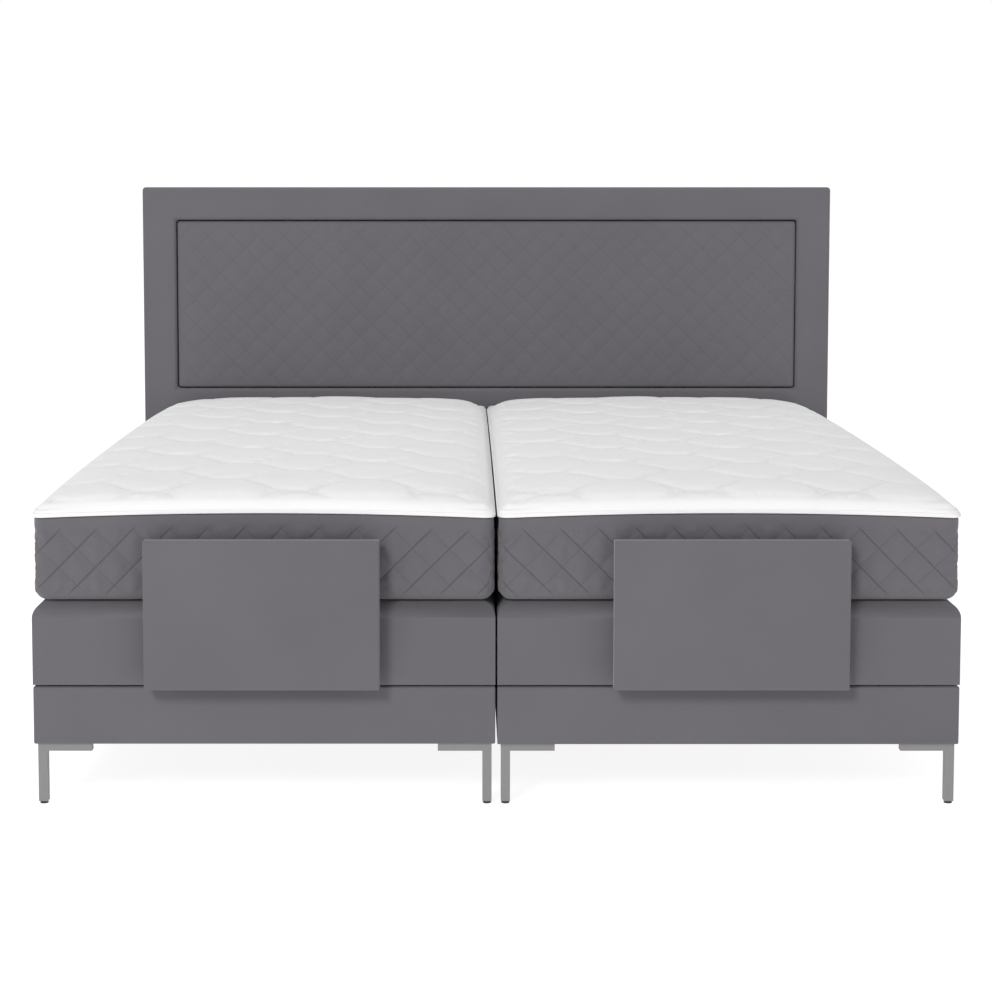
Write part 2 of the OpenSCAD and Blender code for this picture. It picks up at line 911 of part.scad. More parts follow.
half(1) back_mattress();  // right_back_mattress
half(1) seat_mattress();  // right_seat_mattress
half(1) thigh_mattress();  // right_thigh_mattress
half(1) calf_mattress();  // right_calf_mattress
half(1) mattress_folds();  // right_mattress_folds
half(1) foot_panel();  // right_foot_panel
half(1) foot_panel_brackets();  // right_foot_panel_brackets
half(1) back_lift_shaft();  // right_back_lift_shaft
half(1) leg_lift_shaft();  // right_leg_lift_shaft
half(1) drive_housing();  // right_drive_housing
half(1) drive_motors();  // right_drive_motors
half(1) back_drive_block();  // right_back_drive_block
half(1) leg_drive_block();  // right_leg_drive_block
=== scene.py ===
"""Looks of the two-part adjustable bed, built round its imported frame. Units are metres."""
import json
import math

import bmesh
import bpy
import numpy as np
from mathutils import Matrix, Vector, noise


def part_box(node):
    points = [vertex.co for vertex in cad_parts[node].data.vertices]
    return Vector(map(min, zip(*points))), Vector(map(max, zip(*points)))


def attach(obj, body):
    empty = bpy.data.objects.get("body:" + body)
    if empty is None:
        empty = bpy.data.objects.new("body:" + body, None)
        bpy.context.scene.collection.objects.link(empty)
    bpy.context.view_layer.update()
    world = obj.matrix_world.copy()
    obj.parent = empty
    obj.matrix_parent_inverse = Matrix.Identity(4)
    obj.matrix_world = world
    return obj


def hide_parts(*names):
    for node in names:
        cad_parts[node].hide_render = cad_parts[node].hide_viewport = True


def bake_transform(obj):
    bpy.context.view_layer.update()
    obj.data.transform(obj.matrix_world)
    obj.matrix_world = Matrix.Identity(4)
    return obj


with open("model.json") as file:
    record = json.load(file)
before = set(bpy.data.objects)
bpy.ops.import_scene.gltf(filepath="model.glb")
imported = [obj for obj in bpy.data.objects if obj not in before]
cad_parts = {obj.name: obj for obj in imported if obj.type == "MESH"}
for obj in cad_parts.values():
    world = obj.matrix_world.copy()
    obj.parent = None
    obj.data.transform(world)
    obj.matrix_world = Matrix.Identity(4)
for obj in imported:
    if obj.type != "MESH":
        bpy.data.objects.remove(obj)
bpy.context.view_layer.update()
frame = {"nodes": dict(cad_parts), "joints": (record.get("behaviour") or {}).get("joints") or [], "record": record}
nodes = frame["nodes"]

SIDES = ("left", "right")
MM = 0.001
SEED = 7
SIM_FRAMES = 20
SKIRT = 28 * MM     # thickness of the box skirts
STITCHES = 12       # stitches between two crossings of the quilt's lines
TINY = 1e-9


# ---------------------------------------------------------------- places from the frame

def joint(name):
    return next(j for j in frame["joints"] if j["name"] == name)


def node_low_high(name):
    low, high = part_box(name)
    return np.array(low), np.array(high)


THIGH_Y = joint("left_thigh_lift")["pos_m"][1]
KNEE_Y = joint("left_calf_knee")["pos_m"][1]
FOOT_Y = float(node_low_high("left_plinth_rails")[0][1])


def half_centre(side):
    return joint(side + "_back_lift")["pos_m"][0]


# ---------------------------------------------------------------- camera, floor and light

def make_camera():
    """Looks along the bed from beyond its foot, a little left of its middle."""
    eye_x, eye_to_foot, eye_z = -0.061, 4.130, 1.203
    pitch = math.radians(4.6)
    data = bpy.data.cameras.new("camera")
    data.sensor_width = 36.0
    data.lens = 78.4
    data.shift_x = 0.0313
    data.shift_y = -0.1375
    cam = bpy.data.objects.new("camera", data)
    cam.location = (eye_x, FOOT_Y - eye_to_foot, eye_z)
    cam.rotation_euler = (math.radians(90) - pitch, 0, 0)
    data.clip_start = 0.1
    data.clip_end = 100
    bpy.context.scene.collection.objects.link(cam)
    bpy.context.scene.camera = cam


def area_light(name, place, target, size, power):
    data = bpy.data.lights.new(name, "AREA")
    data.shape = "RECTANGLE"
    data.size, data.size_y = size
    data.energy = power
    lamp = bpy.data.objects.new(name, data)
    lamp.location = place
    aim = Vector(target) - Vector(place)
    lamp.rotation_euler = aim.to_track_quat("-Z", "Y").to_euler()
    bpy.context.scene.collection.objects.link(lamp)


def make_studio():
    """A bright cove round the horizon, dimmer overhead, with a frontal key and a soft top light."""
    bpy.context.scene.view_settings.view_transform = "Standard"
    world = bpy.data.worlds.new("studio")
    world.use_nodes = True
    tree = world.node_tree
    coords = node(tree, "ShaderNodeTexCoord")
    split = node(tree, "ShaderNodeSeparateXYZ")
    tree.links.new(coords.outputs["Generated"], split.inputs["Vector"])
    horizon, overhead = (1.0, 1.0, 1.0), (0.40, 0.40, 0.41)
    sky = ramp(tree, split.outputs["Z"], [(0.22, horizon), (0.42, overhead)])
    tree.links.new(sky, tree.nodes["Background"].inputs["Color"])
    bpy.context.scene.world = world
    area_light("key", (-4.4, -12.0, 7.4), (0, 0, 0.5), (3.0, 3.0), 790)
    area_light("top", (-0.5, 0.2, 5.6), (0, 0, 0.4), (3.6, 3.6), 84)


def make_floor():
    """A pale floor that glows a little, as paper lit from behind does."""
    reach = 30.0
    corners = [(-reach, -reach, 0), (reach, -reach, 0), (reach, reach, 0), (-reach, reach, 0)]
    floor = mesh_object("floor", np.array(corners), np.array([(0, 1, 2, 3)]),
                        [MATERIALS["floor"]])


# ---------------------------------------------------------------- materials

def new_material(name):
    mat = bpy.data.materials.new(name)
    mat.use_nodes = True
    tree = mat.node_tree
    return mat, tree, tree.nodes["Principled BSDF"]


def node(tree, kind, **values):
    """A shader node with its inputs and settings given by name."""
    made = tree.nodes.new(kind)
    for key, value in values.items():
        if key in made.inputs:
            made.inputs[key].default_value = value
        else:
            setattr(made, key, value)
    return made


def position(tree, scale=(1, 1, 1)):
    """Object coordinates, stretched, so that a pattern has the same size on every piece."""
    coords = node(tree, "ShaderNodeTexCoord")
    mapping = node(tree, "ShaderNodeMapping", Scale=scale)
    tree.links.new(coords.outputs["Object"], mapping.inputs["Vector"])
    return mapping.outputs["Vector"]


def ramp(tree, source, stops):
    made = node(tree, "ShaderNodeValToRGB")
    while len(made.color_ramp.elements) < len(stops):
        made.color_ramp.elements.new(0.5)
    for element, (place, colour) in zip(made.color_ramp.elements, stops):
        element.position = place
        element.color = (*colour, 1)
    tree.links.new(source, made.inputs["Fac"])
    return made.outputs["Color"]


def shades(colour, spread):
    """The same colour a little darker and a little lighter."""
    darker = tuple(c * (1 - spread) for c in colour)
    lighter = tuple(min(1, c * (1 + spread)) for c in colour)
    return [(0.3, darker), (0.7, lighter)]


def vary_roughness(tree, shader, source, low, high):
    """Roughness that follows a noise from low to high."""
    rough = node(tree, "ShaderNodeMapRange")
    rough.inputs["To Min"].default_value = low
    rough.inputs["To Max"].default_value = high
    tree.links.new(source, rough.inputs["Value"])
    tree.links.new(rough.outputs["Result"], shader.inputs["Roughness"])


def bump(tree, shader, height, strength, distance, under=None):
    """A bump on the shader's normal, laid over another one where under is given."""
    made = node(tree, "ShaderNodeBump", Strength=strength, Distance=distance)
    tree.links.new(height, made.inputs["Height"])
    if under is not None:
        tree.links.new(under, made.inputs["Normal"])
    tree.links.new(made.outputs["Normal"], shader.inputs["Normal"])
    return made.outputs["Normal"]


def paint(name, colour, roughness=0.5, grain=900, grain_depth=0.2, metal=0.0, spread=0.05,
          glow=0.0):
    """Painted, moulded or plated surface, or paper, with a fine grain."""
    mat, tree, shader = new_material(name)
    shader.inputs["Metallic"].default_value = metal
    shader.inputs["Emission Color"].default_value = (1, 1, 1, 1)
    shader.inputs["Emission Strength"].default_value = glow
    patches = node(tree, "ShaderNodeTexNoise", Scale=9.0, Detail=4.0)
    tree.links.new(position(tree), patches.inputs["Vector"])
    tree.links.new(ramp(tree, patches.outputs["Fac"], shades(colour, spread)),
                   shader.inputs["Base Color"])
    fine = node(tree, "ShaderNodeTexNoise", Scale=float(grain), Detail=2.0)
    tree.links.new(position(tree), fine.inputs["Vector"])
    vary_roughness(tree, shader, patches.outputs["Fac"], roughness - 0.06,
                   min(1.0, roughness + 0.08))
    bump(tree, shader, fine.outputs["Fac"], grain_depth, 0.0004)
    return mat


def brushed(name, colour):
    """Satin steel with fine upright brush lines and soft smudges."""
    mat, tree, shader = new_material(name)
    shader.inputs["Metallic"].default_value = 0.35
    lines = node(tree, "ShaderNodeTexNoise", Scale=60.0, Detail=6.0, Roughness=0.7)
    tree.links.new(position(tree, (40, 40, 1.2)), lines.inputs["Vector"])
    smudge = node(tree, "ShaderNodeTexNoise", Scale=14.0, Detail=3.0)
    tree.links.new(position(tree), smudge.inputs["Vector"])
    tree.links.new(ramp(tree, lines.outputs["Fac"], shades(colour, 0.08)),
                   shader.inputs["Base Color"])
    vary_roughness(tree, shader, smudge.outputs["Fac"], 0.42, 0.58)
    bump(tree, shader, lines.outputs["Fac"], 0.15, 0.0002)
    return mat


def multiply(tree, first, second):
    """Product of two values, each a socket or a number."""
    made = node(tree, "ShaderNodeMath", operation="MULTIPLY")
    for socket, value in zip(made.inputs, (first, second)):
        if isinstance(value, (int, float)):
            socket.default_value = value
        else:
            tree.links.new(value, socket)
    return made.outputs[0]


def stitch_line(tree, phase, along, width):
    """1 on each line where phase is a whole number, in dashes as sewn thread shows."""
    near = node(tree, "ShaderNodeMath", operation="PINGPONG")
    near.inputs[1].default_value = 0.5
    tree.links.new(phase, near.inputs[0])
    line = node(tree, "ShaderNodeMapRange", interpolation_type="SMOOTHSTEP")
    line.inputs["From Max"].default_value = width
    line.inputs["To Min"].default_value = 1.0
    line.inputs["To Max"].default_value = 0.0
    tree.links.new(near.outputs[0], line.inputs["Value"])
    dash = node(tree, "ShaderNodeMath", operation="SINE")
    tree.links.new(multiply(tree, along, STITCHES * 2 * math.pi), dash.inputs[0])
    thread = node(tree, "ShaderNodeMapRange")
    thread.inputs["From Min"].default_value = -1.0
    thread.inputs["To Min"].default_value = 0.6
    tree.links.new(dash.outputs[0], thread.inputs["Value"])
    return multiply(tree, line.outputs["Result"], thread.outputs["Result"])


def quilting(tree, first_set_shade, second_set_shade, width):
    """Both crossed sets of stitch lines of a quilted piece, from its quilt attribute, each set with its own share
    of painted shade.
    """
    quilt = node(tree, "ShaderNodeAttribute", attribute_name="quilt")
    split = node(tree, "ShaderNodeSeparateXYZ")
    tree.links.new(quilt.outputs["Vector"], split.inputs["Vector"])
    lines = []
    for phase, along, share in (("X", "Y", first_set_shade), ("Y", "X", second_set_shade)):
        line = stitch_line(tree, split.outputs[phase], split.outputs[along], width)
        lines.append(multiply(tree, line, share))
    both = node(tree, "ShaderNodeMath", operation="MAXIMUM")
    tree.links.new(lines[0], both.inputs[0])
    tree.links.new(lines[1], both.inputs[1])
    return multiply(tree, both.outputs[0], split.outputs["Z"])


def weave_height(tree, pitch):
    """Crossed threads of a plain weave."""
    total = None
    for axis in ("X", "Y", "Z"):
        wave = node(tree, "ShaderNodeTexWave", Scale=math.pi / (10 * pitch), Distortion=0.6,
                    Detail=1.0)
        wave.bands_direction = axis
        tree.links.new(position(tree), wave.inputs["Vector"])
        if total is None:
            total = wave.outputs["Fac"]
            continue
        added = node(tree, "ShaderNodeMath", operation="ADD")
        tree.links.new(total, added.inputs[0])
        tree.links.new(wave.outputs["Fac"], added.inputs[1])
        total = added.outputs[0]
    return total


def woven(name, colour, pitch=0.0011, spread=0.05, sheen=0.25, depth=0.35, slub=0.35,
          stitches=None, soft=0.25):
    """Plain weave with thicker threads here and there, soft mottling, sheen and padding.

    pitch: of the threads; slub: share of the thicker threads in the tone; depth and soft:
    strength of the weave's and the padding's bump; stitches: darkness of the two sets of
    stitch lines, which is painted shade in their grooves as well as the thread, and their
    width as a share of the quilt's pitch.
    """
    mat, tree, shader = new_material(name)
    shader.inputs["Roughness"].default_value = 0.92
    shader.inputs["Specular IOR Level"].default_value = 0.25
    shader.inputs["Sheen Weight"].default_value = sheen
    shader.inputs["Sheen Roughness"].default_value = 0.45
    thick = node(tree, "ShaderNodeTexNoise", Scale=1.0, Detail=5.0, Roughness=0.65)
    tree.links.new(position(tree, (160, 160, 340)), thick.inputs["Vector"])
    cloudy = node(tree, "ShaderNodeTexNoise", Scale=5.0, Detail=5.0)
    tree.links.new(position(tree), cloudy.inputs["Vector"])
    mixed = node(tree, "ShaderNodeMix", data_type="FLOAT")
    mixed.inputs[0].default_value = slub
    tree.links.new(cloudy.outputs["Fac"], mixed.inputs[2])
    tree.links.new(thick.outputs["Fac"], mixed.inputs[3])
    tone = ramp(tree, mixed.outputs[0], shades(colour, spread))
    padding = node(tree, "ShaderNodeTexNoise", Scale=7.0, Detail=2.0)
    tree.links.new(position(tree), padding.inputs["Vector"])
    under = bump(tree, shader, padding.outputs["Fac"], soft, 0.02)
    if stitches:
        line = quilting(tree, *stitches)
        # Painted shade: the stitch lines darken the colour, standing for the shade in their grooves as well as for
        # the thread.
        dark = node(tree, "ShaderNodeMix", data_type="RGBA")
        dark.blend_type = "MULTIPLY"
        tree.links.new(line, dark.inputs[0])
        tree.links.new(tone, dark.inputs[6])
        dark.inputs[7].default_value = (0.2, 0.2, 0.2, 1)
        tone = dark.outputs[2]
        groove = multiply(tree, line, -1.0)
        under = bump(tree, shader, groove, 0.5, 0.002, under)
    tree.links.new(tone, shader.inputs["Base Color"])
    bump(tree, shader, weave_height(tree, pitch), depth, 0.00025, under)
    return mat


def timber(name, colour):
    """Sawn board with long grain along X and a few dark streaks."""
    mat, tree, shader = new_material(name)
    shader.inputs["Roughness"].default_value = 0.72
    grain = node(tree, "ShaderNodeTexNoise", Scale=6.0, Detail=8.0, Roughness=0.6)
    tree.links.new(position(tree, (1, 9, 9)), grain.inputs["Vector"])
    rings = node(tree, "ShaderNodeTexWave", Scale=3.0, Distortion=7.0, Detail=3.0)
    tree.links.new(position(tree, (0.6, 5, 5)), rings.inputs["Vector"])
    mixed = node(tree, "ShaderNodeMix", data_type="FLOAT")
    mixed.inputs[0].default_value = 0.4
    tree.links.new(grain.outputs["Fac"], mixed.inputs[2])
    tree.links.new(rings.outputs["Fac"], mixed.inputs[3])
    tree.links.new(ramp(tree, mixed.outputs[0], shades(colour, 0.22)),
                   shader.inputs["Base Color"])
    bump(tree, shader, grain.outputs["Fac"], 0.3, 0.0006)
    return mat


GREY = (0.130, 0.1235, 0.135)
WHITE = (0.82, 0.82, 0.82)

MATERIALS = {
    "upholstery": woven("grey_upholstery", GREY),
    "base_fabric": woven("grey_base_fabric", GREY),
    "headboard_quilt": woven("grey_headboard_quilt", GREY, stitches=(0.12, 0.15, 0.05)),
    # Painted shade: the border's first set of stitch lines is painted darker than the second, as light falls on
    # them from one side.
    "mattress_border": woven("grey_mattress_border", GREY, pitch=0.0008,
                             stitches=(0.6, 0.2, 0.04)),
    "mattress_quilt": woven("white_quilt", WHITE, pitch=0.0007, spread=0.015, sheen=0.15,
                            depth=0.2, stitches=(0.10, 0.10, 0.03)),
    "back_cloth": woven("black_back_cloth", (0.02, 0.02, 0.022), spread=0.2),
    "leg_steel": brushed("brushed_leg_steel", (0.225, 0.225, 0.225)),
    "zinc_steel": paint("zinc_plate", (0.6, 0.61, 0.62), 0.35, 500, 0.1, metal=0.95,
                        spread=0.12),
    "frame_steel": paint("black_powder_coat", (0.022, 0.022, 0.024), 0.5, 1400, 0.45),
    "board_wood": timber("spruce_board", (0.52, 0.36, 0.2)),
    "black_plastic": paint("black_plastic", (0.018, 0.018, 0.02), 0.55, 1800, 0.5),
    "white_plastic": paint("white_plastic", (0.75, 0.75, 0.73), 0.42, 1500, 0.2),
    "tape": woven("white_tape", (0.86, 0.86, 0.86), pitch=0.0005, spread=0.01, depth=0.5),
    "gusset": woven("dark_gusset", (0.05, 0.05, 0.055), spread=0.15),
    "floor": paint("floor_paper", (0.35, 0.35, 0.35), roughness=0.9, grain=400,
                   grain_depth=0.02, spread=0.01, glow=0.88),
}


def dress_cad_nodes():
    """Gives every CAD node the material of its slot."""
    slots = {s["node"]: s["material_slot"] for s in frame["record"]["subparts"]}
    for name, obj in nodes.items():
        obj.data.materials.clear()
        obj.data.materials.append(MATERIALS[slots[name]])


# ---------------------------------------------------------------- mesh making

def stations(low, high, edge, step, edge_parts):
    """Places from low to high: fine over the rounded edges, then one every step or so."""
    middle = max(1, round((high - low - 2 * edge) / step))
    return np.concatenate([
        np.linspace(low, low + edge, edge_parts + 1)[:-1],
        np.linspace(low + edge, high - edge, middle + 1),
        np.linspace(high - edge, high, edge_parts + 1)[1:]])


def with_cuts(places, cuts):
    """Moves the nearest station onto each cut, so that a piece can be parted there."""
    places = places.copy()
    for cut in cuts:
        places[np.argmin(abs(places - cut))] = cut
    return places


class Slab:
    """A padded block as a closed grid: rounded in plan, and over its upper and lower edges.

    points: the surface; quads: its faces; normal: each point's outward direction;
    inset: its distance in from the side; around: its length along the side, from the front's
    middle; level: -1 on the lower face, 0 on the side, 1 on the upper face.
    """

    def __init__(self, low, high, plan_r, top_r, bottom_r, step, side_step=None, cuts=(),
                 edge_parts=5):
        low, high = np.array(low, float), np.array(high, float)
        self.low, self.high = low, high
        edge = max(plan_r, top_r, bottom_r)
        xs = stations(low[0], high[0], edge, step, edge_parts)
        ys = with_cuts(stations(low[1], high[1], edge, step, edge_parts), cuts)
        zs = self.side_levels(low[2], high[2], top_r, bottom_r, side_step or step, edge_parts)
        nx, ny = len(xs), len(ys)
        gx, gy = np.meshgrid(xs, ys, indexing="ij")
        ring = np.array([(i, 0) for i in range(nx - 1)] + [(nx - 1, j) for j in range(ny - 1)]
                        + [(i, ny - 1) for i in range(nx - 1, 0, -1)]
                        + [(0, j) for j in range(ny - 1, 0, -1)])
        face = np.stack([gx.ravel(), gy.ravel()], 1)
        side = np.stack([xs[ring[:, 0]], ys[ring[:, 1]]], 1)
        layers = [(face, -1, low[2]), (face, 1, high[2])] + [(side, 0, z) for z in zs[1:-1]]
        plan = np.concatenate([flat for flat, level, z in layers])
        self.level = np.concatenate([np.full(len(flat), level) for flat, level, z in layers])
        heights = np.concatenate([np.full(len(flat), z) for flat, level, z in layers])
        self.quads = self.join(nx, ny, ring, len(zs))
        self.points, self.inset = self.round(plan, heights, plan_r, top_r, bottom_r)
        self.around = self.side_length(self.points)

    @staticmethod
    def side_levels(low, high, top_r, bottom_r, step, edge_parts):
        """Heights of the side's rows, fine over the lower and the upper edge."""
        middle = max(1, round((high - low - top_r - bottom_r) / step))
        return np.concatenate([
            np.linspace(low, low + bottom_r, edge_parts + 1)[:-1],
            np.linspace(low + bottom_r, high - top_r, middle + 1),
            np.linspace(high - top_r, high, edge_parts + 1)[1:]])

    @staticmethod
    def join(nx, ny, ring, nz):
        """Faces of the lower and upper grid, and of the side's rows between them."""
        grid = np.arange(nx * ny).reshape(nx, ny)
        below, above = grid, grid + nx * ny
        quads = [np.stack([below[:-1, :-1], below[:-1, 1:], below[1:, 1:], below[1:, :-1]], -1),
                 np.stack([above[:-1, :-1], above[1:, :-1], above[1:, 1:], above[:-1, 1:]], -1)]
        quads = [q.reshape(-1, 4) for q in quads]
        count = len(ring)
        rows = [below[ring[:, 0], ring[:, 1]]]
        rows += [2 * nx * ny + k * count + np.arange(count) for k in range(nz - 2)]
        rows.append(above[ring[:, 0], ring[:, 1]])
        for a, b in zip(rows[:-1], rows[1:]):
            quads.append(np.stack([a, np.roll(a, -1), np.roll(b, -1), b], 1))
        return np.concatenate(quads)

    def round(self, plan, z, plan_r, top_r, bottom_r):
        """Rounds the plan's corners, then rolls the surface over the upper and lower edges."""
        inner_low, inner_high = self.low[:2] + plan_r, self.high[:2] - plan_r
        core = np.clip(plan, inner_low, inner_high)
        v = plan - core
        length = np.linalg.norm(v, axis=1)
        reach = abs(v).max(1)
        out = np.divide(v, length[:, None], out=np.zeros_like(v), where=length[:, None] > TINY)
        plan = core + out * reach[:, None]
        edge_gap = np.minimum(plan - self.low[:2], self.high[:2] - plan)
        nearest = edge_gap.min(1)
        inside = length < TINY
        axis = edge_gap.argmin(1)
        middle = (self.low + self.high)[:2] / 2
        sign = np.where(plan[np.arange(len(plan)), axis] > middle[axis], 1, -1)
        out[inside] = 0
        out[inside, axis[inside]] = sign[inside]
        inset = np.where(inside, nearest, plan_r - reach)
        turn = np.zeros(len(plan))
        past_top = z - self.high[2] + top_r
        past_bottom = self.low[2] + bottom_r - z
        for r, level, past in ((top_r, 1, past_top), (bottom_r, -1, past_bottom)):
            side_u = past / r
            wall = (self.level == 0) & (side_u > 0)
            cap = (self.level == level) & (inset < r)
            angle = np.where(wall, side_u * math.pi / 4, 0)
            angle = np.where(cap, math.pi / 4 * (1 + inset / r), angle)
            touched = wall | cap
            new_inset = r * (1 - np.cos(angle))
            plan = np.where(touched[:, None], plan + out * (inset - new_inset)[:, None], plan)
            z_edge = self.high[2] - r if level > 0 else self.low[2] + r
            z = np.where(touched, z_edge + level * r * np.sin(angle), z)
            inset = np.where(touched, new_inset, inset)
            turn = np.where(touched, level * angle, turn)
        normal = np.zeros((len(plan), 3))
        side = self.level == 0
        normal[:, :2] = out * np.cos(turn)[:, None]
        normal[:, 2] = np.sin(turn)
        flat = ~side & (abs(turn) < TINY)
        normal[flat] = 0
        normal[flat, 2] = self.level[flat]
        self.normal = normal
        return np.column_stack([plan, z]), inset

    def side_length(self, points):
        """Length along the side, counted from the middle of the front, the same both ways."""
        mid = (self.low + self.high) / 2
        half = (self.high - self.low) / 2
        x, y = points[:, 0] - mid[0], points[:, 1] - self.low[1]
        on_side = abs(abs(x) - half[0]) < abs(np.minimum(y, 2 * half[1] - y))
        along = np.where(on_side, half[0] + y, abs(x))
        back = (~on_side) & (y > half[1])
        along = np.where(back, 2 * half[0] + 2 * half[1] - abs(x), along)
        return along * np.sign(x + 1e-12)

    def push(self, height):
        """Moves each point along its outward direction."""
        self.points = self.points + self.normal * height[:, None]

    def puff(self, loose, growth, most):
        """Swells the loose points between the stitched ones, by cloth simulation.

        growth: share by which the cloth grows; most: the longest move of a point.
        """
        chosen = self.quads[loose[self.quads].any(1)]
        used, index = np.unique(chosen, return_inverse=True)
        start = self.points[used]
        patch = mesh_object("patch", start, index.reshape(-1, 4), [])
        stitched = patch.vertex_groups.new(name="stitched")
        stitched.add(np.flatnonzero(~loose[used]).tolist(), 1.0, "REPLACE")
        cloth = patch.modifiers.new("cloth", "CLOTH")
        settings = cloth.settings
        settings.vertex_group_mass = "stitched"
        settings.use_pressure = True
        settings.uniform_pressure_force = 4.0
        settings.effector_weights.gravity = 0.0
        settings.shrink_min = -growth
        settings.tension_stiffness = settings.compression_stiffness = 12.0
        settings.bending_stiffness = 0.4
        cloth.point_cache.frame_start = 1
        cloth.point_cache.frame_end = SIM_FRAMES
        scene = bpy.context.scene
        for frame_number in range(1, SIM_FRAMES + 1):
            scene.frame_set(frame_number)
        done = patch.evaluated_get(bpy.context.evaluated_depsgraph_get()).data
        end = np.zeros(len(used) * 3, np.float32)
        done.vertices.foreach_get("co", end)
        moved = end.reshape(-1, 3) - start
        length = np.linalg.norm(moved, axis=1)
        moved *= np.minimum(1.0, most / np.maximum(length, TINY))[:, None]
        self.points[used] += moved
        scene.frame_set(1)
        bpy.data.objects.remove(patch)


def quilt_height(a, b):
    """0 on the stitch lines of a crossed quilt and 1 in the middle of its cells."""
    return np.sqrt(abs(np.sin(math.pi * a)) * abs(np.sin(math.pi * b)))


def off_line(phase):
    """Distance to the nearest stitch line, as a share of the pitch."""
    return abs((phase + 0.5) % 1 - 0.5)


def noise_field(points, scale, seed=0):
    """Smooth noise from -1 to 1 at each point."""
    shift = Vector((seed * 3.1, seed * 1.7, seed * 2.3))
    return np.array([noise.noise(Vector(p) * scale + shift) for p in points])


def mesh_object(name, points, quads, materials, quilt=None):
    """A smooth-shaded object; quilt: both phases and the share of its stitches per point."""
    mesh = bpy.data.meshes.new(name)
    mesh.from_pydata(points.tolist(), [], quads.tolist())
    mesh.polygons.foreach_set("use_smooth", [True] * len(mesh.polygons))
    for mat in materials:
        mesh.materials.append(mat)
    if quilt is not None:
        layer = mesh.attributes.new("quilt", "FLOAT_VECTOR", "POINT")
        layer.data.foreach_set("vector", quilt.astype(np.float32).ravel())
    mesh.update()
    obj = bpy.data.objects.new(name, mesh)
    bpy.context.scene.collection.objects.link(obj)
    return obj


def vertex_normals(obj):
    normals = np.zeros(len(obj.data.vertices) * 3, np.float32)
    obj.data.vertex_normals.foreach_get("vector", normals)
    return normals.reshape(-1, 3)


def cap_holes(obj):
    """Closes the cut ends of a parted piece."""
    bm = bmesh.new()
    bm.from_mesh(obj.data)
    edges = [e for e in bm.edges if len(e.link_faces) == 1]
    bmesh.ops.holes_fill(bm, edges=edges, sides=0)
    bmesh.ops.triangulate(bm, faces=[f for f in bm.faces if len(f.verts) > 4])
    bm.to_mesh(obj.data)
    bm.free()


def part_along_y(name, points, quads, quilt, material, cuts):
    """Parts a closed mesh at the cuts, keeps its shading unbroken there, and caps the ends."""
    whole = mesh_object(name, points, quads, [material])
    normals = vertex_normals(whole)
    bpy.data.objects.remove(whole)
    middle = points[quads][:, :, 1].mean(1)
    edges = [-1e9] + sorted(cuts) + [1e9]
    parts = []
    for k, (start, end) in enumerate(zip(edges[:-1], edges[1:])):
        chosen = quads[(middle > start) & (middle < end)]
        used, index = np.unique(chosen, return_inverse=True)
        part = mesh_object(f"{name}_{k}", points[used], index.reshape(-1, 4), [material],
                           quilt[used])
        cap_holes(part)
        part.data.normals_split_custom_set_from_vertices(normals[used].tolist())
        parts.append(part)
    return parts


# ---------------------------------------------------------------- mattress

# Where the mattress is parted, a little to each side of the thigh joint
SEAT_CUT = THIGH_Y + 100 * MM
THIGH_CUT = THIGH_Y - 125 * MM
CUTS = (THIGH_CUT, SEAT_CUT)

SEAM_Z = 568 * MM           # the seam between the grey border and the white top
BORDER_INSET = 2 * MM       # how far the border stays inside the top
HANG = 10 * MM              # how much lower the corners hang than the middle
QUILT_PITCH = 72 * MM
QUILT_SINK = 1.5 * MM       # how deep the stitches pull the cover in
CORNER_R = 26 * MM          # in plan
LINE_GAP = 0.06             # half the width held by a stitch line, as a share of the pitch


def bend_mattress(side, parts, label):
    """Names the calf, thigh and back parts of one layer, and bakes their placement into their points."""
    calf, thigh, back = parts
    calf.name, thigh.name, back.name = (
        f"{side}_{label}_calf", f"{side}_{label}_seat", f"{side}_{label}_back")
    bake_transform(calf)
    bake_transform(thigh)
    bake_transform(back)


def mattress_box():
    """Low and high corner of one whole mattress, about its half's middle."""
    low, high = node_low_high("left_calf_mattress")
    high[1] = node_low_high("left_back_mattress")[1][1]
    shift = np.array([half_centre("left"), 0, 0])
    return low - shift, high - shift


def hang(slab, low, high):
    """Lets the four corners of a mattress layer hang a little lower than its middle.

    low and high are the whole mattress's; its lower face stays where it is.
    """
    x, y, z = slab.points.T
    u = x / high[0]
    t = (2 * y - low[1] - high[1]) / (high[1] - low[1])
    share = np.clip((z - low[2]) / (SEAM_Z - low[2]), 0, 1)
    slab.points[:, 2] += share * (HANG / 2 - HANG * u ** 2 * t ** 2)


def border_shape():
    """The grey quilted core: straight sides with diamond quilting and a rounded lower edge."""
    low, high = mattress_box()
    slab = Slab((low[0] + BORDER_INSET, low[1] + 1 * MM, low[2]),
                (high[0] - BORDER_INSET, high[1], SEAM_Z),
                plan_r=CORNER_R, top_r=5 * MM, bottom_r=24 * MM,
                step=7 * MM, side_step=6 * MM, cuts=CUTS)
    z = slab.points[:, 2]
    a, b = (slab.around - z) / QUILT_PITCH, (slab.around + z) / QUILT_PITCH
    band = np.clip((SEAM_Z - 20 * MM - z) / (10 * MM), 0, 1)
    band *= np.clip((z - slab.low[2] - 8 * MM) / (12 * MM), 0, 1) * (slab.level == 0)
    slab.push(band * (quilt_height(a, b) * 1.4 * MM - QUILT_SINK))
    slab.puff((band > 0.5) & (off_line(a) > LINE_GAP) & (off_line(b) > LINE_GAP),
              growth=0.04, most=3 * MM)
    slab.quilt = np.column_stack([a, b, band])
    hang(slab, low, high)
    return slab


def wave_phases(x, y):
    """Phases of the two mirrored sets of waving lines across the mattress top."""
    period_x, period_y, first_crest, swing = 285 * MM, 250 * MM, 217 * MM, 0.28
    sway = swing * np.cos(2 * math.pi * (x - first_crest) / period_x)
    return y / period_y - sway, y / period_y + sway + 0.5


